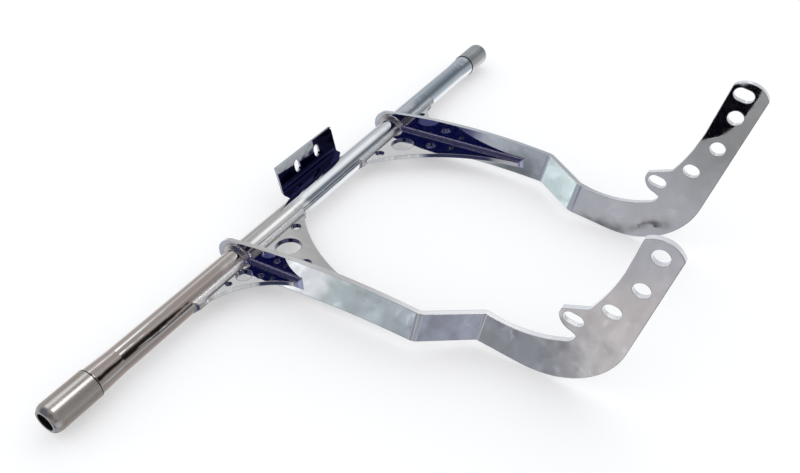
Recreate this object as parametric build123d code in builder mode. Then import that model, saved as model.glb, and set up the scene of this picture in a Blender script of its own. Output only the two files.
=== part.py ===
"""Crash bar: a straight tube with turned end sliders, two joggled plate arms and their gussets.

Frame, in millimetres: X runs along the tube towards the right end, Y from the tube
along the arms to the bolt-on tabs, Z up. The origin is the middle of the tube axis.
"""
import os
from math import acos, atan2, cos, degrees, radians, sin, sqrt

from build123d import *

os.makedirs("parts", exist_ok=True)

# Tube, with both ends swaged out to meet the sliders
tube_od = 31.75
tube_wall = 3.05
tube_half_length = 422.5
swage_od = 34.9
swage_length = 36.0

# Turned end sliders and the screws that hold them
slider_od = 36.5
slider_length = 60.0
slider_nose_length = 9.0
slider_nose_step = 4.2
recess_diameter = 22.0
recess_depth = 34.0
bolt_diameter = 12.0
bolt_length = 90.0
bolt_clearance = 0.5
bolt_head_diameter = 18.0
bolt_head_height = 12.0
bolt_socket_flats = 10.0
bolt_socket_depth = 6.0
bolt_head_break = 0.8
washer_diameter = 21.0
washer_thickness = 2.5
bung_gap = 2.0
bung_length = 25.0

# Plate arms: a long shank, a joggle inwards and a hooked tab
plate = 6.35
arm_spacing = 367.0
tab_spacing = 283.4
joggle_start = 251.4
joggle_end = 310.3
joggle_lean = 13.0
joggle_bend_radius = 12.0
arm_bore_clearance = 0.1
heel_radius = 24.5
heel_offset = 6.5
heel_drop = 0.5
shank_crest_y = 125.0
shank_crest_z = 33.0
shank_sole_z = -17.0
shank_end_top = (263.0, 24.0)
shank_end_bottom = (252.5, -22.5)
tab_start_top = (325.0, 18.0)
tab_start_bottom = (313.0, -27.0)
foot_top_dip = (365.0, 11.5)
notch_start = (413.0, 20.5)
notch_bow = (422.5, 26.0)
notch_end = (426.3, 34.5)
notch_round = 2.0
tongue_under = (420.0, 38.5)
tongue_bow = (409.3, 46.5)
tongue_tip = (405.6, 58.0)
tongue_shoulder = (407.5, 65.0)
tongue_round = 3.0
tongue_top_end = (436.0, 75.0)
neck_round = 8.0
neck_bow = (449.5, 98.5)
neck_end = (464.0, 135.0)
foot_arc_centre = (386.0, 57.5)
foot_arc_radius = 96.5

# Tab tops: the left tab is one hole longer than the right
right_tab_shoulder = (475.3, 179.0)
right_tab_crown = (491.0, 183.3)
right_tab_corner = (514.0, 167.0)
left_tab_shoulder = (482.0, 203.5)
left_tab_crown = (501.5, 208.5)
left_tab_corner = (522.5, 191.0)
tab_shoulder_round = 4.0

# Tab bolt holes
tab_hole_diameter = 18.0
lower_slot_centre = (421.3, 55.3)
second_slot_centre = (458.4, 82.2)
third_hole_centre = (481.8, 120.0)
fourth_hole_centre = (492.7, 164.0)
fifth_slot_centre = (495.4, 193.3)
long_slot_length = 23.0
long_slot_width = 15.5
short_slot_length = 20.0
short_slot_width = 17.0
slot_tilt = -13.0

# Gussets: flat webs in the plane of the tube axis
gusset_plate = 6.35
outer_gusset_reach = 91.0
outer_gusset_rise = 96.0
outer_gusset_waist = (31.5, 49.0)
outer_gusset_toe = 5.0
inner_gusset_reach = 108.0
inner_gusset_rise = 219.0
inner_gusset_waist = (44.0, 95.0)
inner_gusset_toe = 8.0
gusset_tube_toe = 2.5
outer_gusset_holes = ((24.5, 31.5, 20.5), (46.0, 25.5, 8.0), (16.0, 50.0, 9.0), (13.0, 65.0, 6.0))
inner_gusset_holes = ((40.0, 44.5, 33.5), (78.0, 28.0, 13.0), (24.0, 83.5, 15.0), (16.5, 114.0, 9.0))

# Weld beads
gusset_weld_leg = 6.0
ring_weld_leg = 6.5
bracket_weld_radius = 3.5
bracket_weld_inset = 12.0

# Slotted angle bracket on the back of the tube
bracket_width = 124.0
bracket_plate = 5.0
bracket_bend_y = -21.0
bracket_bend_z = 16.5
bracket_bend_radius = 4.5
bracket_height = 37.0
bracket_lean = 10.0
flange_slope = 8.0
flange_reach = 15.0
bracket_slot_spacing = 44.8
bracket_slot_height = 20.7
bracket_slot_length = 18.0
bracket_slot_width = 13.0
bracket_top_cut = 3.0
flange_cut = (15.0, 8.0)

# Half length of the cutting shapes, longer than the whole part
cutter = 600.0

# Sizes that follow from the driving dimensions
tube_radius = tube_od / 2
bore_radius = tube_radius - tube_wall
swage_radius = swage_od / 2
slider_radius = slider_od / 2
slider_end = tube_half_length + slider_length
recess_floor = slider_end - recess_depth
bolt_seat = recess_floor + washer_thickness
bung_outer_end = tube_half_length - swage_length - bung_gap
arm_outer_face = arm_spacing / 2 + plate / 2
arm_inner_face = arm_spacing / 2 - plate / 2
gusset_tube_edge = sqrt(tube_radius**2 - (gusset_plate / 2) ** 2)


def save(piece, name):
    piece.label = name
    export_step(piece, f"parts/{name}.step")


def placed(piece, side_plane):
    """The right-hand piece as it is, or mirrored to the left."""
    return piece if side_plane is None else mirror(piece, about=side_plane)


def half_section(inset):
    """A solid half section of the tube from its middle to its flared right end, moved in by inset."""
    flare_start = (tube_half_length - swage_length, tube_radius - inset)
    flare_end = (tube_half_length, swage_radius - inset)
    with BuildSketch() as section:
        with BuildLine():
            Polyline(flare_end, (tube_half_length, 0), (0, 0), (0, flare_start[1]), flare_start, flare_end)
        make_face()
    return section.sketch


# Tube
with BuildPart() as crossbar_tube:
    with BuildSketch():
        add(half_section(0))
        add(half_section(tube_wall), mode=Mode.SUBTRACT)
        mirror(about=Plane.YZ)
    revolve(axis=Axis.X)
save(crossbar_tube.part, "crossbar_tube")


def end_pieces(side_name, side_plane):
    """Slider, bung, screw and washer of one tube end, modelled at the right and mirrored."""
    with BuildPart() as slider:
        with BuildSketch():
            seam = (tube_half_length, swage_radius)
            shoulder = (tube_half_length + slider_radius - swage_radius, slider_radius)
            nose_start = (slider_end - slider_nose_length, slider_radius)
            nose_end = (slider_end, slider_radius - slider_nose_step)
            with BuildLine():
                Polyline(nose_end, (slider_end, 0), (tube_half_length, 0), seam, shoulder, nose_start)
                TangentArc(nose_start, nose_end, tangent=(1, 0))
            make_face()
        revolve(axis=Axis.X)
        with BuildSketch(Plane.YZ.offset(recess_floor)):
            Circle(recess_diameter / 2)
        extrude(amount=recess_depth, mode=Mode.SUBTRACT)
        with BuildSketch(Plane.YZ.offset(tube_half_length)):
            Circle(bolt_diameter / 2 + bolt_clearance)
        extrude(amount=slider_length, mode=Mode.SUBTRACT)
    save(placed(slider.part, side_plane), f"{side_name}_slider")

    with BuildPart() as bung:
        with BuildSketch(Plane.YZ.offset(bung_outer_end)):
            Circle(bore_radius)
            Circle(bolt_diameter / 2, mode=Mode.SUBTRACT)
        extrude(amount=-bung_length)
    save(placed(bung.part, side_plane), f"{side_name}_end_bung")

    with BuildPart() as bolt:
        with BuildSketch(Plane.YZ.offset(bolt_seat)):
            Circle(bolt_head_diameter / 2)
        extrude(amount=bolt_head_height)
        chamfer(edges().filter_by(GeomType.CIRCLE).sort_by(Axis.X)[-1], bolt_head_break)
        with BuildSketch(Plane.YZ.offset(bolt_seat)):
            Circle(bolt_diameter / 2)
        extrude(amount=-bolt_length)
        with BuildSketch(Plane.YZ.offset(bolt_seat + bolt_head_height)):
            RegularPolygon(bolt_socket_flats / 2, 6, major_radius=False)
        extrude(amount=-bolt_socket_depth, mode=Mode.SUBTRACT)
    save(placed(bolt.part, side_plane), f"{side_name}_slider_bolt")

    with BuildPart() as washer:
        with BuildSketch(Plane.YZ.offset(recess_floor)):
            Circle(washer_diameter / 2)
            Circle(bolt_diameter / 2 + bolt_clearance, mode=Mode.SUBTRACT)
        extrude(amount=washer_thickness)
    save(placed(washer.part, side_plane), f"{side_name}_slider_washer")


end_pieces("right", None)
end_pieces("left", Plane.YZ)


def tab_slot(centre, length, width):
    with Locations(Location((centre[0], centre[1], 0), (0, 0, slot_tilt))):
        SlotOverall(length, width, mode=Mode.SUBTRACT)


def foot_tangent(point, turn):
    """Where a line from a point touches the foot arc, on the side that turn says."""
    centre = Vector(foot_arc_centre)
    away = Vector(point) - centre
    swing = turn * degrees(acos(foot_arc_radius / away.length))
    return centre + away.normalized().rotate(Axis.Z, swing) * foot_arc_radius


def arm_outline(shoulder, crown, corner):
    """Side view of an arm in Y and Z: heel round the tube, arched shank, foot and hooked tab."""
    heel_top = (-heel_offset, heel_radius - heel_drop)
    heel_back = (-heel_offset - heel_radius, -heel_drop)
    heel_bottom = (-heel_offset, -heel_radius - heel_drop)
    foot_centre = Vector(foot_arc_centre)
    foot_front = foot_tangent(corner, -1)
    foot_back = foot_tangent(tab_start_bottom, 1)
    foot_middle = foot_centre + ((foot_front + foot_back) / 2 - foot_centre).normalized() * foot_arc_radius
    ThreePointArc(heel_bottom, heel_back, heel_top)
    ThreePointArc(heel_top, (shank_crest_y, shank_crest_z), shank_end_top)
    Line(shank_end_top, tab_start_top)
    ThreePointArc(tab_start_top, foot_top_dip, notch_start)
    ThreePointArc(notch_start, notch_bow, notch_end)
    Line(notch_end, tongue_under)
    ThreePointArc(tongue_under, tongue_bow, tongue_tip)
    Polyline(tongue_tip, tongue_shoulder, tongue_top_end)
    ThreePointArc(tongue_top_end, neck_bow, neck_end)
    Line(neck_end, shoulder)
    ThreePointArc(shoulder, crown, corner)
    Line(corner, foot_front)
    ThreePointArc(foot_front, foot_middle, foot_back)
    Polyline(foot_back, tab_start_bottom, shank_end_bottom)
    ThreePointArc(shank_end_bottom, (shank_crest_y, shank_sole_z), heel_bottom)


def round_near(point, radius):
    fillet(vertices().sort_by_distance((point[0], point[1], 0))[0], radius)


def arm(side_name, side_plane, tab_top, extra_slots):
    """One plate arm, modelled at the right: a joggled strip cut to the side outline."""
    strip_plane = Plane((0, 0, 0), (1, 0, 0), (0, sin(radians(joggle_lean)), cos(radians(joggle_lean))))
    with BuildPart() as piece:
        with BuildSketch(strip_plane):
            with BuildLine():
                FilletPolyline(
                    (arm_spacing / 2, -cutter),
                    (arm_spacing / 2, joggle_start),
                    (tab_spacing / 2, joggle_end),
                    (tab_spacing / 2, cutter),
                    radius=joggle_bend_radius,
                )
            trace(line_width=plate)
        extrude(amount=cutter, both=True)
        with BuildSketch(Plane.YZ):
            with BuildLine():
                arm_outline(*tab_top)
            make_face()
            round_near(tab_top[0], tab_shoulder_round)
            round_near(tongue_shoulder, tongue_round)
            round_near(tongue_top_end, neck_round)
            round_near(notch_end, notch_round)
            Circle(tube_radius + arm_bore_clearance, mode=Mode.SUBTRACT)
            tab_slot(lower_slot_centre, long_slot_length, long_slot_width)
            tab_slot(second_slot_centre, short_slot_length, short_slot_width)
            with Locations(third_hole_centre, fourth_hole_centre):
                Circle(tab_hole_diameter / 2, mode=Mode.SUBTRACT)
            for centre in extra_slots:
                tab_slot(centre, long_slot_length, long_slot_width)
        extrude(amount=arm_spacing, mode=Mode.INTERSECT)
    save(placed(piece.part, side_plane), f"{side_name}_arm")


right_tab_top = (right_tab_shoulder, right_tab_crown, right_tab_corner)
left_tab_top = (left_tab_shoulder, left_tab_crown, left_tab_corner)
arm("right", None, right_tab_top, ())
arm("left", Plane.YZ, left_tab_top, (fifth_slot_centre,))


def gusset(face, sign, reach, rise, waist, toe, holes):
    """A flat web between an arm face and the tube, with a hollow edge and lightening holes."""
    with BuildPart() as web:
        with BuildSketch(Plane.XY.offset(-gusset_plate / 2)):
            tube_toe = (face + sign * reach, gusset_tube_edge + gusset_tube_toe)
            arm_toe = (face + sign * toe, rise)
            with BuildLine():
                Polyline(arm_toe, (face, rise), (face, 0), (tube_toe[0], 0), tube_toe)
                ThreePointArc(tube_toe, (face + sign * waist[0], waist[1]), arm_toe)
            make_face()
            for along, up, diameter in holes:
                with Locations((face + sign * along, up)):
                    Circle(diameter / 2, mode=Mode.SUBTRACT)
        extrude(amount=gusset_plate)
        with BuildSketch(Plane.YZ):
            Circle(tube_radius)
        extrude(amount=cutter, mode=Mode.SUBTRACT)
    return web.part


def ring_weld(face, sign, web):
    """Fillet bead round the tube at one arm face, open where the gusset meets the tube."""
    with BuildPart() as bead:
        with BuildSketch():
            with BuildLine():
                root = (face, tube_radius)
                tube_toe = (face + sign * ring_weld_leg, tube_radius)
                arm_toe = (face, tube_radius + ring_weld_leg)
                Polyline(tube_toe, root, arm_toe, close=True)
            make_face()
        revolve(axis=Axis.X)
        add(web, mode=Mode.SUBTRACT)
    return bead.part


def gusset_weld(face, sign, reach, rise, web, ring):
    """Fillet bead all round the root of a gusset, sloping from its faces to the arm and to the tube."""
    leg = gusset_weld_leg
    width = gusset_plate + 2 * leg
    base = sqrt(tube_radius**2 - (width / 2) ** 2)
    height = gusset_tube_edge + leg - base
    arm_run = Plane((face, (gusset_tube_edge + rise) / 2, 0), x_dir=(0, 1, 0), z_dir=(sign, 0, 0))
    tube_run = Plane((face + sign * reach / 2, base, 0), x_dir=(1, 0, 0), z_dir=(0, 1, 0))
    with BuildPart() as bead:
        with BuildSketch(arm_run):
            Rectangle(rise - gusset_tube_edge + 2 * leg, width)
        extrude(amount=leg, taper=degrees(atan2(leg, leg)))
        with BuildSketch(tube_run):
            Rectangle(reach + 2 * leg, width)
        extrude(amount=height, taper=degrees(atan2(leg, height)))
        with BuildSketch(Plane.YZ.offset(face)):
            Rectangle(cutter, cutter)
        extrude(amount=-sign * cutter, mode=Mode.SUBTRACT)
        with BuildSketch(Plane.YZ):
            Circle(tube_radius)
        extrude(amount=cutter, mode=Mode.SUBTRACT)
        add(web, mode=Mode.SUBTRACT)
        add(ring, mode=Mode.SUBTRACT)
    return bead.part


def gusset_set(place, face, sign, shape, holes):
    """Gusset with its bead and the ring bead beside it, modelled at the right and mirrored."""
    web = gusset(face, sign, *shape, holes)
    ring = ring_weld(face, sign, web)
    bead = gusset_weld(face, sign, shape[0], shape[1], web, ring)
    for side_name, side_plane in (("right", None), ("left", Plane.YZ)):
        for kind, piece in (("gusset", web), ("ring_weld", ring), ("gusset_weld", bead)):
            save(placed(piece, side_plane), f"{side_name}_{place}_{kind}")


outer_shape = (outer_gusset_reach, outer_gusset_rise, outer_gusset_waist, outer_gusset_toe)
inner_shape = (inner_gusset_reach, inner_gusset_rise, inner_gusset_waist, inner_gusset_toe)
gusset_set("outer", arm_outer_face, 1, outer_shape, outer_gusset_holes)
gusset_set("inner", arm_inner_face, -1, inner_shape, inner_gusset_holes)

# Angle bracket
lean = radians(bracket_lean)
slope = radians(flange_slope)
upright_way = Vector(0, -sin(lean), cos(lean))
flange_way = Vector(0, cos(slope), -sin(slope))
bend_corner = Vector(0, bracket_bend_y, bracket_bend_z)
core_shift = bracket_plate / 2 / cos(lean + slope)
core_corner = bend_corner - (upright_way + flange_way) * core_shift
core_top = core_corner + upright_way * (bracket_height + core_shift)
core_front = core_corner + flange_way * (flange_reach + core_shift)
upright_plane = Plane(bend_corner, x_dir=(-1, 0, 0), z_dir=(0, cos(lean), sin(lean)))
flange_plane = Plane(bend_corner, x_dir=(-1, 0, 0), z_dir=(0, sin(slope), cos(slope)))
bracket_side = bracket_width / 2

with BuildPart() as plate_bracket:
    with BuildSketch(Plane.YZ.offset(-bracket_side)):
        with BuildLine():
            FilletPolyline(
                (core_front.Y, core_front.Z),
                (core_corner.Y, core_corner.Z),
                (core_top.Y, core_top.Z),
                radius=bracket_bend_radius,
            )
        trace(line_width=bracket_plate)
    extrude(amount=bracket_width)
    with BuildSketch(upright_plane):
        with Locations((0, bracket_slot_height)):
            with GridLocations(bracket_slot_spacing, 0, 2, 1):
                SlotOverall(bracket_slot_length, bracket_slot_width, rotation=90)
        with BuildLine():
            Polyline(
                (bracket_side, bracket_height - bracket_top_cut),
                (bracket_side - bracket_top_cut, bracket_height),
                (bracket_side, bracket_height),
                close=True,
            )
        make_face()
    extrude(amount=bracket_height, both=True, mode=Mode.SUBTRACT)
    with BuildSketch(flange_plane):
        with BuildLine():
            Polyline(
                (bracket_side, flange_cut[1] - flange_reach),
                (bracket_side - flange_cut[0], -flange_reach),
                (bracket_side, -flange_reach),
                close=True,
            )
        make_face()
    extrude(amount=bracket_height, both=True, mode=Mode.SUBTRACT)
    with BuildSketch(Plane.YZ):
        Circle(tube_radius)
    extrude(amount=cutter, both=True, mode=Mode.SUBTRACT)
save(plate_bracket.part, "plate_bracket")

# Bead in the corner between the flange's underside and the tube
underside = bend_corner - flange_plane.z_dir * bracket_plate
closing = underside.dot(flange_way)
step = -closing - sqrt(closing**2 - underside.dot(underside) + tube_radius**2)
weld_root = underside + flange_way * step

with BuildPart() as bracket_weld:
    with BuildSketch(Plane.YZ.offset(bracket_weld_inset - bracket_side)):
        with Locations((weld_root.Y, weld_root.Z)):
            Circle(bracket_weld_radius)
        Circle(tube_radius, mode=Mode.SUBTRACT)
    extrude(amount=bracket_width - 2 * bracket_weld_inset)
    add(plate_bracket.part, mode=Mode.SUBTRACT)
save(bracket_weld.part, "bracket_weld")
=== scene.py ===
"""Chromed crash bar on a white studio floor, seen from its upper front right."""
import math

import bpy
from mathutils import Matrix, Vector

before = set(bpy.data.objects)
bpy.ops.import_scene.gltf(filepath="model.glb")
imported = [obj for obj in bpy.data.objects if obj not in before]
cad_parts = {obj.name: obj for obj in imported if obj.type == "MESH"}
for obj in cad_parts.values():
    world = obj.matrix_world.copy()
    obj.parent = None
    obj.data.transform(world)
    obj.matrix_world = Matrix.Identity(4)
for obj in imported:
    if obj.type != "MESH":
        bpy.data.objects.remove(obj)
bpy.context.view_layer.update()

# Camera, solved for the photograph's viewpoint: place in metres, lens and sensor in millimetres
CAMERA_PLACE = (0.71938, 0.58830, 0.61731)
CAMERA_RIGHT = (-0.51812, 0.85448, -0.03770)
CAMERA_UP = (-0.54012, -0.29270, 0.78905)
CAMERA_BACK = (0.66319, 0.42918, 0.61317)
CAMERA_LENS = 35.29
SENSOR_WIDTH = 36.0

# The bar stands on the rounded heels and feet of its arms: Y, Z and radius in metres
HEEL = (-0.0065, -0.0005, 0.0245)
FOOT = (0.3860, 0.0575, 0.0965)
FLOOR_GAP = 0.0003
FLOOR_SIZE = 40

# The gussets' round holes: distance from the arm's face, Y and diameter, in metres
ARM_FACES = (0.180325, 0.186675)
INNER_HOLES = ((0.0400, 0.0445, 0.0335), (0.0780, 0.0280, 0.0130),
               (0.0240, 0.0835, 0.0150), (0.0165, 0.1140, 0.0090))
OUTER_HOLES = ((0.0245, 0.0315, 0.0205), (0.0460, 0.0255, 0.0080),
               (0.0160, 0.0500, 0.0090), (0.0130, 0.0650, 0.0060))

# Welds: pitch of the ripples, and X of the beads in the two corners where a bluish reflection is
# painted
RIPPLE_PITCH = 0.0021
RIGHT_CORNER_X = 0.190
LEFT_CORNER_X = -0.177

# Sliders: radius of the recess painted black as shade, and X of the seam against the tube, where a
# dark line of shade is painted
RECESS_RADIUS = 0.0112
SEAM_X = 0.4243

# The bracket's fold, where a dark navy reflection is painted: its front leans along Z, and its
# painted part rises along X
FOLD_LEAN = 0.176
FOLD_FRONT = (-0.0206, -0.0196)
FOLD_RISE = -0.10
FOLD_LOW = (0.0400, 0.0380)
FOLD_LEFT = (-0.0165, -0.0185)


class Tree:
    """Short calls that add and link the nodes of one node tree."""

    def __init__(self, tree):
        self.tree = tree
        tree.nodes.clear()

    def node(self, kind, **settings):
        made = self.tree.nodes.new(kind)
        for name, value in settings.items():
            setattr(made, name, value)
        return made

    def put(self, socket, value):
        if isinstance(value, bpy.types.NodeSocket):
            self.tree.links.new(value, socket)
        elif value is not None:
            socket.default_value = value

    def math(self, operation, a, b=None, c=None):
        made = self.node("ShaderNodeMath", operation=operation)
        for socket, value in zip(made.inputs, (a, b, c)):
            self.put(socket, value)
        return made.outputs[0]

    def times(self, a, b):
        return self.math("MULTIPLY", a, b)

    def line(self, value, slope, start):
        """The value times a slope, plus a start."""
        return self.math("MULTIPLY_ADD", value, slope, start)

    def apart(self, a, b):
        """Distance between two values."""
        return self.math("ABSOLUTE", self.math("SUBTRACT", a, b))

    def dot(self, a, b):
        made = self.node("ShaderNodeVectorMath", operation="DOT_PRODUCT")
        self.put(made.inputs[0], a)
        self.put(made.inputs[1], b)
        return made.outputs["Value"]

    def split(self, vector):
        made = self.node("ShaderNodeSeparateXYZ")
        self.put(made.inputs[0], vector)
        return made.outputs

    def join(self, x, y, z):
        made = self.node("ShaderNodeCombineXYZ")
        for socket, value in zip(made.inputs, (x, y, z)):
            self.put(socket, value)
        return made.outputs[0]

    def fade(self, value, low, high, to_low=0.0, to_high=1.0):
        """Smooth step from to_low at low to to_high at high; low may be the larger."""
        made = self.node("ShaderNodeMapRange", interpolation_type="SMOOTHSTEP")
        for socket, item in zip(made.inputs, (value, low, high, to_low, to_high)):
            self.put(socket, item)
        return made.outputs[0]

    def mix(self, factor, a, b):
        made = self.node("ShaderNodeMix", data_type="RGBA")
        self.put(made.inputs[0], factor)
        self.put(made.inputs[6], a)
        self.put(made.inputs[7], b)
        return made.outputs[2]

    def scale(self, colour, factor):
        made = self.node("ShaderNodeVectorMath", operation="SCALE")
        self.put(made.inputs[0], colour)
        self.put(made.inputs["Scale"], factor)
        return made.outputs[0]

    def noise(self, vector, scale, detail=3.0, roughness=0.5, distortion=0.0):
        made = self.node("ShaderNodeTexNoise")
        self.put(made.inputs["Vector"], vector)
        self.put(made.inputs["Scale"], scale)
        self.put(made.inputs["Detail"], detail)
        self.put(made.inputs["Roughness"], roughness)
        self.put(made.inputs["Distortion"], distortion)
        return made.outputs["Fac"]

    def ramp(self, value, stops):
        made = self.node("ShaderNodeValToRGB")
        ramp = made.color_ramp
        ramp.interpolation = "EASE"
        while len(ramp.elements) > 1:
            ramp.elements.remove(ramp.elements[-1])
        ramp.elements[0].position = stops[0][0]
        ramp.elements[0].color = (*stops[0][1], 1)
        for place, colour in stops[1:]:
            ramp.elements.new(place).color = (*colour, 1)
        self.put(made.inputs[0], value)
        return made.outputs[0]


def grey(value, warm=0.0):
    """A grey, pushed a little towards rose for warm above nought and towards blue below it."""
    return (value * (1 + warm), value * min(1, 1 - warm * 0.35), value * (1 - warm))


def turn_of(angle):
    """Place in a ramp, from 0 to 1, of an angle above +Y round the tube's axis."""
    return angle / 360 + 0.5


def strips(levels, warm):
    """Stops of a ramp once round the tube, from angles and levels; the darker, the more colour."""
    return [(turn_of(angle), grey(level, warm * (1 - level))) for angle, level in levels]


# Round the tube's axis the room is a set of long strips, in five stretches
END_STRIPS = strips(
    ((-180, 0.40), (-143, 0.72), (-113, 0.68), (-83, 0.40), (-53, 0.22), (-20, 0.23), (6, 0.22),
     (13, 0.04), (22, 0.008), (46, 0.010), (54, 0.06), (62, 0.28), (96, 0.27), (112, 0.32),
     (124, 0.42), (140, 0.24), (156, 0.26), (180, 0.40)), 0.15)
NEAR_STRIPS = strips(
    ((-180, 0.40), (-143, 0.70), (-113, 0.62), (-83, 0.30), (-53, 0.22), (-23, 0.24), (20, 0.21),
     (50, 0.22), (66, 0.33), (90, 0.27), (112, 0.30), (126, 0.46), (142, 0.34), (160, 0.33),
     (180, 0.40)), 0.15)
INNER_STRIPS = strips(
    ((-180, 0.50), (-143, 0.80), (-113, 0.58), (-83, 0.52), (-53, 0.60), (-23, 0.56), (6, 0.84),
     (20, 0.72), (34, 0.40), (48, 0.62), (60, 0.97), (74, 0.93), (90, 0.44), (126, 0.38),
     (156, 0.36), (180, 0.50)), 0.02)
MIDDLE_STRIPS = strips(
    ((-180, 0.60), (-143, 0.80), (-113, 0.68), (-83, 0.90), (-58, 0.93), (-40, 0.72), (-23, 0.36),
     (2, 0.35), (20, 0.24), (34, 0.14), (46, 0.18), (62, 0.60), (80, 0.88), (100, 0.84),
     (126, 0.56), (156, 0.40), (180, 0.60)), -0.14)
FAR_STRIPS = strips(
    ((-180, 0.46), (-143, 0.62), (-113, 0.90), (-83, 0.93), (-53, 0.90), (-36, 0.62), (-23, 0.44),
     (6, 0.38), (28, 0.19), (48, 0.14), (66, 0.18), (96, 0.27), (126, 0.38), (156, 0.42),
     (180, 0.46)), -0.19)

# Where the later stretches take over, by the X of the direction
STRETCHES = ((-0.50, -0.57, INNER_STRIPS), (-0.60, -0.63, MIDDLE_STRIPS), (-0.70, -0.77, FAR_STRIPS))

# The black streak on the tube's right half, as an angle above +Y
STREAK_ANGLE = 34

# Colours of the room: its navy side, its lower right, and the view through the gussets' holes
NAVY = (0.004, 0.004, 0.024)
BELOW_RIGHT = (0.335, 0.360, 0.405)
HOLE_VIEW = (0.050, 0.055, 0.150)

# Round patches of the room: direction, radius and softness in degrees, colour and raggedness
UPPER_RIGHT = (
    ((0.70, -0.42, 0.57), 33.0, 5.0, (0.002, 0.003, 0.036), 0.01),
    ((0.73, 0.36, 0.58), 21.0, 5.0, NAVY, 0.01),
    ((0.57, 0.81, -0.10), 15.0, 6.0, NAVY, 0.01))

# What the outer faces of the shanks and tabs show
SEEN_BY_ARMS = (
    ((0.585, -0.475, -0.66), 4.0, 3.0, (0.425, 0.480, 0.505), 0.002),
    ((0.569, -0.516, -0.640), 1.8, 0.8, grey(0.82, -0.03), 0.0008),
    ((0.70, -0.16, -0.70), 5.0, 3.0, (0.600, 0.572, 0.570), 0.006),
    ((0.642, -0.25, -0.725), 3.6, 2.6, (0.240, 0.247, 0.272), 0.004),
    ((0.765, -0.13, -0.63), 5.0, 3.0, (0.488, 0.458, 0.462), 0.0008),
    ((0.805, -0.155, -0.57), 4.0, 3.0, (0.408, 0.408, 0.443), 0.0006),
    ((0.88, -0.06, -0.46), 5.0, 3.5, grey(0.27), 0.004),
    ((0.775, -0.325, -0.555), 1.4, 1.0, grey(0.16, -0.1), 0))

# What the joggles show
SEEN_BY_JOGGLES = (
    ((0.38, 0.76, -0.52), 24.0, 5.0, grey(0.52, -0.03), 0),
    ((0.78, 0.20, -0.60), 15.0, 3.0, (0.030, 0.035, 0.075), 0),
    ((0.125, -0.906, -0.407), 8.0, 4.0, (0.62, 0.73, 0.74), 0.03),
    ((0.38, 0.35, -0.86), 6.0, 3.0, (0.275, 0.285, 0.345), 0.006),
    ((0.12, -0.45, -0.88), 12.0, 4.0, grey(0.04, -0.05), 0))

# What shows through the gussets' holes in the shanks' mirror
SEEN_BY_HOLES = (
    ((0.757, -0.42, -0.50), 2.6, 0.8, HOLE_VIEW, 0),
    ((0.540, -0.565, -0.625), 1.6, 0.5, HOLE_VIEW, 0))

# The left side: black for the left tab, white overhead for the rounded edges, and pale areas
LEFT_SIDE = (
    ((-0.905, -0.11, -0.41), 9.0, 1.5, (0.002, 0.002, 0.004), 0),
    ((-0.16, -0.48, 0.86), 15.0, 3.0, grey(1.1), 0),
    ((-0.70, -0.47, 0.53), 4.5, 2.5, grey(0.58), 0),
    ((-0.505, -0.58, 0.64), 4.5, 2.5, grey(0.56), 0),
    ((-0.50, -0.82, -0.27), 13.0, 5.0, grey(0.74, 0.03), 0),
    ((-0.884, -0.087, 0.459), 5.0, 2.5, grey(0.9), 0))

# Navy ahead of the bracket, and the soft box for the sliders
SEEN_BY_BRACKET = (((-0.645, 0.70, -0.305), 5.0, 0.4, (0.001, 0.001, 0.040), 0),)
SOFT_BOX = (((-0.17, 0.29, 0.94), 11.0, 3.5, grey(3.2, 0.02), 0),)

# The two edges of the pale corner on the bracket's upright: normal and softness of each
PALE_EDGES = (((0.025, 0.4117, 0.911), 0.0012), ((0.6572, 0.7199, 0.2232), 0.002))

# Directions that measure places on the left arm's foot, about one unit to a pixel of the view
SWIRL_ACROSS = (266.4, 805.0, 134.3)
SWIRL_DOWN = (-443.3, 240.4, -658.5)


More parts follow.
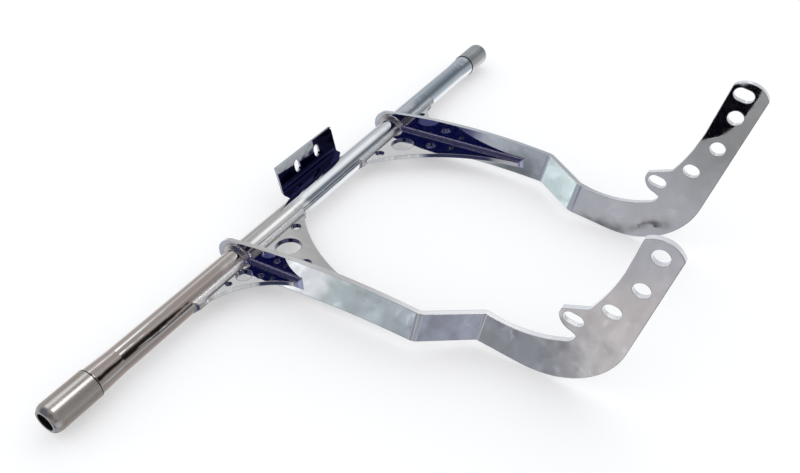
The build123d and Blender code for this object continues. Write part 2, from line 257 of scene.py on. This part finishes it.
class Room:
    """The room that the chrome mirrors: a colour by direction, painted layer on layer."""

    def __init__(self, t):
        self.t = t
        self.way = t.node("ShaderNodeTexCoord").outputs["Generated"]
        self.x, self.y, self.z = t.split(self.way)
        self.cloud = t.noise(self.way, 9.0, 4.0, 0.55, 0.6)
        self.fine = t.noise(self.way, 34.0, 3.0, 0.6, 0.8)
        self.low = t.fade(self.z, -0.28, -0.38)
        self.below = t.times(t.fade(self.x, 0.16, 0.30), self.low)
        self.colour = self.strips_round_tube()
        self.patches(UPPER_RIGHT)
        ground = t.scale(BELOW_RIGHT, t.line(self.cloud, 0.8, 0.6))
        self.colour = t.mix(self.below, self.colour, ground)
        self.patches(SEEN_BY_ARMS)
        self.patches(SEEN_BY_JOGGLES)
        self.clouds()
        self.swirl()
        self.patches(SEEN_BY_HOLES)
        self.patches(LEFT_SIDE)
        self.patches(SEEN_BY_BRACKET)
        self.pale_corner()
        self.patches(SOFT_BOX)

    def lay(self, amount, rgb):
        """Mix a colour over what is painted so far."""
        self.colour = self.t.mix(amount, self.colour, (*rgb, 1))

    def strips_round_tube(self):
        """The strips of all stretches, and the wedge where the black streak begins."""
        t, x = self.t, self.x
        turn = t.line(t.math("ARCTAN2", self.z, self.y), 1 / math.tau, 0.5)
        turn = t.math("ADD", turn, t.line(self.fine, 0.010, -0.005))
        wedge = t.line(t.apart(turn, turn_of(STREAK_ANGLE)), -0.9, x)
        at_end = t.times(t.fade(wedge, -0.480, -0.450), t.fade(x, -0.329, -0.338))
        colour = t.mix(at_end, t.ramp(turn, NEAR_STRIPS), t.ramp(turn, END_STRIPS))
        for start, stop, stops in STRETCHES:
            colour = t.mix(t.fade(x, start, stop), colour, t.ramp(turn, stops))
        return t.scale(colour, t.line(self.cloud, 0.30, 0.85))

    def patches(self, rows):
        """Round patches, their edges made ragged by the fine noise."""
        t = self.t
        for centre, radius, soft, rgb, ragged in rows:
            near = t.dot(self.way, tuple(Vector(centre).normalized()))
            if ragged:
                near = t.line(t.math("SUBTRACT", self.fine, 0.5), ragged, near)
            low = math.cos(math.radians(radius + soft))
            high = math.cos(math.radians(max(radius - soft, 0)))
            self.lay(t.fade(near, low, high), rgb)

    def clouds(self):
        """Clouds and thin pale wisps over all that the arms' broad faces show."""
        t = self.t
        drift = t.noise(self.way, 30.0, 7.0, 0.66, 1.6)
        vein = t.apart(t.noise(self.way, 16.0, 3.0, 0.5, 1.0), 0.5)
        vein = t.times(t.fade(vein, 0.020, 0.0), t.fade(drift, 0.42, 0.56))
        lift = t.line(vein, 0.65, t.line(drift, 1.9, -0.98))
        lift = t.times(lift, t.fade(self.x, 0.74, 0.66, 0.3, 0.9))
        broad = t.times(t.fade(self.x, 0.02, 0.10), self.low)
        self.colour = t.scale(self.colour, t.line(broad, lift, 1.0))

    def swirl(self):
        """A dark swirl under a pale one, and a dark lower edge, which the left arm's foot shows."""
        t = self.t
        across = t.dot(self.way, SWIRL_ACROSS)
        down = t.dot(self.way, SWIRL_DOWN)

        # The dark stroke and the pale one above it
        rise = t.math("SUBTRACT", t.math("MAXIMUM", t.line(across, -0.342, -2.3), -3.0), down)
        wide = t.line(across, 0.22, 5.5)
        ends = t.times(t.fade(across, -17.0, -13.0), t.fade(across, 38.0, 10.0, 0.0, 0.9))
        ends = t.times(ends, self.below)
        dark = t.times(t.fade(rise, -0.6, 0.6), t.fade(t.math("DIVIDE", rise, wide), 1.2, 0.2))
        pale = t.fade(t.math("SUBTRACT", rise, wide), 7.0, 1.0, 0.0, 0.5)
        pale = t.times(t.fade(rise, 0.0, wide), pale)
        self.lay(t.times(pale, ends), grey(0.50, 0.02))
        self.lay(t.times(dark, ends), grey(0.02, -0.1))

        # The dark lower edge
        rise = t.math("SUBTRACT", t.line(across, 0.32, 7.8), down)
        ends = t.times(t.fade(across, -80.0, -45.0, 0.0, 0.75), t.fade(across, -12.0, -17.0))
        ends = t.times(ends, self.below)
        dark = t.times(t.fade(rise, -7.0, -4.0), t.fade(rise, 9.0, -1.0))
        self.lay(t.times(dark, ends), grey(0.03, -0.1))

    def pale_corner(self):
        """The pale corner that the bracket's upright shows."""
        t = self.t
        pale = t.times(t.fade(self.y, 0.66, 0.67), t.fade(self.z, -0.24, -0.26))
        for normal, soft in PALE_EDGES:
            pale = t.times(pale, t.fade(t.dot(self.way, normal), -soft, soft))
        self.lay(pale, grey(0.38, -0.05))


def build_world():
    """White for the camera, a plain pale sky for diffuse light, the room for mirrors."""
    world = bpy.data.worlds.new("studio")
    bpy.context.scene.world = world
    world.use_nodes = True
    t = Tree(world.node_tree)
    path = t.node("ShaderNodeLightPath").outputs

    def background(colour):
        made = t.node("ShaderNodeBackground")
        t.put(made.inputs["Color"], colour)
        return made.outputs[0]

    def blend(factor, a, b):
        made = t.node("ShaderNodeMixShader")
        for socket, value in zip(made.inputs, (factor, a, b)):
            t.put(socket, value)
        return made.outputs[0]

    seen = t.math("MAXIMUM", path["Is Camera Ray"], path["Is Transmission Ray"])
    white = background((1, 1, 1, 1))
    plain = background((0.97, 0.98, 1.0, 1))
    room = background(Room(t).colour)
    look = blend(seen, blend(path["Is Glossy Ray"], plain, room), white)
    t.tree.links.new(look, t.node("ShaderNodeOutputWorld").inputs["Surface"])


def material(name):
    """A new material with its tree, its coordinates on the part and its shader's inputs."""
    made = bpy.data.materials.new(name)
    made.use_nodes = True
    t = Tree(made.node_tree)
    shader = t.node("ShaderNodeBsdfPrincipled")
    t.tree.links.new(shader.outputs[0], t.node("ShaderNodeOutputMaterial").inputs["Surface"])
    place = t.node("ShaderNodeTexCoord").outputs["Object"]
    return made, t, place, shader.inputs


def softened(t, radius, height, distance):
    """Surface normal with its sharp edges rounded by radius and a height field on top."""
    bevel = t.node("ShaderNodeBevel", samples=6)
    bevel.inputs["Radius"].default_value = radius
    bump = t.node("ShaderNodeBump")
    bump.inputs["Strength"].default_value = 1.0
    bump.inputs["Distance"].default_value = distance
    t.put(bump.inputs["Height"], height)
    t.put(bump.inputs["Normal"], bevel.outputs[0])
    return bump.outputs[0]


def painted_fold_shade(t, place):
    """How far inside the bracket's fold a point is, on the side that faces the tube: where a dark
    navy reflection is painted.
    """
    x, y, z = t.split(place)
    front = t.fade(t.line(z, FOLD_LEAN, y), *FOLD_FRONT)
    low = t.fade(t.line(x, FOLD_RISE, z), *FOLD_LOW)
    left = t.fade(x, *FOLD_LEFT)
    return t.times(front, t.math("MAXIMUM", low, left))


def painted_hole_shade(t, place):
    """The walls and rims of the gussets' round holes, where a dark shade is painted."""
    x, y, _ = t.split(place)
    beside = t.math("ABSOLUTE", x)
    centres = [(ARM_FACES[0] - reach, rise, width / 2) for reach, rise, width in INNER_HOLES]
    centres += [(ARM_FACES[1] + reach, rise, width / 2) for reach, rise, width in OUTER_HOLES]
    nearest = None
    for centre_x, centre_y, radius in centres:
        offset = t.join(t.math("SUBTRACT", beside, centre_x), t.math("SUBTRACT", y, centre_y), 0.0)
        gap = t.math("SUBTRACT", t.math("SQRT", t.dot(offset, offset)), radius)
        nearest = gap if nearest is None else t.math("MINIMUM", nearest, gap)
    return t.fade(nearest, 0.0006, 0.0002)


def chrome(name, waviness, rounding, shade=None, painted_dark=None, frost=False):
    """Bright plate over polished steel: faintly wavy and hazy, with either a painted dark shade over
    a mask or frosted cut edges.
    """
    made, t, place, to = material(name)
    drift = t.noise(place, 14.0, 3.0)
    haze = t.noise(place, 60.0, 4.0)
    wave = t.noise(place, 30.0, 2.0)
    colour = t.mix(drift, (0.90, 0.91, 0.93, 1), (0.96, 0.965, 0.975, 1))
    if shade:
        # Paint the given dark colour over the plate where the mask says: painted shade on the
        # gussets' hole walls, a painted dark navy reflection in the bracket's fold
        colour = t.mix(shade(t, place), colour, (*painted_dark, 1))
    t.put(to["Base Color"], colour)
    to["Metallic"].default_value = 1.0
    if frost:
        facing = t.math("ABSOLUTE", t.split(t.node("ShaderNodeTexCoord").outputs["Normal"])[0])
        on_edge = t.fade(t.split(place)[1], 0.28, 0.44, 0.80, 0.35)
        t.put(to["Metallic"], t.fade(facing, 0.3, 0.5, on_edge, 1.0))
    t.put(to["Roughness"], t.fade(haze, 0.3, 0.7, 0.022, 0.060))
    t.put(to["Normal"], softened(t, rounding, wave, waviness))
    return made


def bead():
    """Chromed weld: the ripples of the run show as short scallops, with a painted bluish reflection
    in the arms' corners.
    """
    made, t, place, to = material("chrome_bead")
    x, y, _ = t.split(place)
    ripple = t.math("SINE", t.times(t.math("ADD", x, y), math.tau / RIPPLE_PITCH))
    lumps = t.noise(place, 120.0, 2.0)
    height = t.line(ripple, 0.25, lumps)
    aside = t.math("MINIMUM", t.apart(x, RIGHT_CORNER_X), t.apart(x, LEFT_CORNER_X))
    painted_corner_reflection = t.times(t.fade(aside, 0.009, 0.006), t.fade(y, 0.013, 0.019))
    bright = t.mix(lumps, (0.82, 0.83, 0.86, 1), (0.93, 0.94, 0.96, 1))
    # Painted bluish reflection over the beads in the arms' corners
    t.put(to["Base Color"], t.mix(painted_corner_reflection, bright, (0.66, 0.66, 0.92, 1)))
    to["Metallic"].default_value = 1.0
    to["Roughness"].default_value = 0.22
    t.put(to["Normal"], softened(t, 0.0030, height, 0.00015))
    return made


def satin():
    """Turned aluminium with fine rings, and painted black shade in the recess and at the seam."""
    made, t, place, to = material("slider_satin")
    x, y, z = t.split(place)
    radius = t.math("SQRT", t.math("ADD", t.times(y, y), t.times(z, z)))
    # Painted black shade inside the recess and along the seam against the tube
    recess_shade = t.fade(radius, RECESS_RADIUS, RECESS_RADIUS - 0.00025)
    seam_shade = t.fade(t.math("ABSOLUTE", x), SEAM_X, SEAM_X - 0.0006)
    painted_shade = t.math("MAXIMUM", recess_shade, seam_shade)
    rings = t.noise(t.join(t.times(x, 1400.0), 0.0, 0.0), 1.0, 2.0)
    smear = t.noise(place, 40.0, 3.0)
    metal = t.mix(smear, (0.56, 0.548, 0.530, 1), (0.65, 0.640, 0.622, 1))
    t.put(to["Base Color"], t.mix(painted_shade, metal, (0.006, 0.006, 0.007, 1)))
    to["Metallic"].default_value = 0.85
    t.put(to["Roughness"], t.fade(smear, 0.3, 0.7, 0.19, 0.25))
    t.put(to["Normal"], softened(t, 0.0008, rings, 0.000006))
    return made


def steel():
    """Blackened steel of the end screws, washers and bungs."""
    made, t, place, to = material("fastener_steel")
    grain = t.noise(place, 420.0, 3.0)
    t.put(to["Base Color"], t.mix(grain, (0.030, 0.030, 0.032, 1), (0.055, 0.054, 0.055, 1)))
    to["Metallic"].default_value = 1.0
    t.put(to["Roughness"], t.fade(grain, 0.3, 0.7, 0.35, 0.5))
    t.put(to["Normal"], softened(t, 0.0004, grain, 0.00004))
    return made


def pale_floor():
    """Dull and pale, with a little light of its own, so that the shadow stays light."""
    made, t, place, to = material("pale_floor")
    mottle = t.noise(place, 3.0, 2.0)
    t.put(to["Base Color"], t.mix(mottle, (0.76, 0.76, 0.76, 1), (0.77, 0.77, 0.77, 1)))
    to["Roughness"].default_value = 1.0
    to["Specular IOR Level"].default_value = 0.0
    to["Emission Color"].default_value = (1, 1, 1, 1)
    to["Emission Strength"].default_value = 0.28
    return made


def dress():
    """Give every node its finish, by the end of its name."""
    tube = chrome("chrome_tube", 0.0003, 0.0012)
    arm = chrome("chrome_plate", 0.00008, 0.0012, frost=True)
    # The gussets get a painted dark shade on the walls of their round holes
    gusset = chrome("chrome_gusset", 0.0003, 0.0010, painted_hole_shade, (0.11, 0.11, 0.20))
    # The bracket gets a painted dark navy reflection in its fold
    bracket = chrome("chrome_flat", 0.0001, 0.0008, painted_fold_shade, (0.014, 0.015, 0.066))
    weld, slider, dark = bead(), satin(), steel()
    finishes = {"tube": tube, "arm": arm, "gusset": gusset, "bracket": bracket, "weld": weld,
                "slider": slider, "bolt": dark, "washer": dark, "bung": dark}
    for name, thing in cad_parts.items():
        for slot in thing.material_slots:
            slot.material = finishes[name.rsplit("_", 1)[-1]]


def build_floor():
    """A plane that touches the heels and feet of both arms."""
    run, drop, shrink = (foot - heel for foot, heel in zip(FOOT, HEEL))
    tilt = math.atan2(drop, run) - math.asin(shrink / math.hypot(run, drop))
    normal = Vector((0, -math.sin(tilt), math.cos(tilt)))
    under = Vector((0, HEEL[0], HEEL[1])) - normal * (HEEL[2] + FLOOR_GAP)
    bpy.ops.mesh.primitive_plane_add(size=FLOOR_SIZE, location=under, rotation=(tilt, 0, 0))
    floor = bpy.context.object
    floor.name = "studio_floor"
    floor.data.materials.append(pale_floor())
    floor.visible_glossy = False


def build_camera():
    """The camera of the photograph's view."""
    data = bpy.data.cameras.new("view")
    data.sensor_width = SENSOR_WIDTH
    data.lens = CAMERA_LENS
    data.clip_start = 0.01
    data.clip_end = 100.0
    camera = bpy.data.objects.new("view", data)
    turn = Matrix((CAMERA_RIGHT, CAMERA_UP, CAMERA_BACK)).transposed()
    camera.matrix_world = Matrix.Translation(CAMERA_PLACE) @ turn.to_4x4()
    bpy.context.scene.collection.objects.link(camera)
    bpy.context.scene.camera = camera


bpy.context.scene.view_settings.view_transform = "Standard"
build_world()
dress()
build_floor()
build_camera()
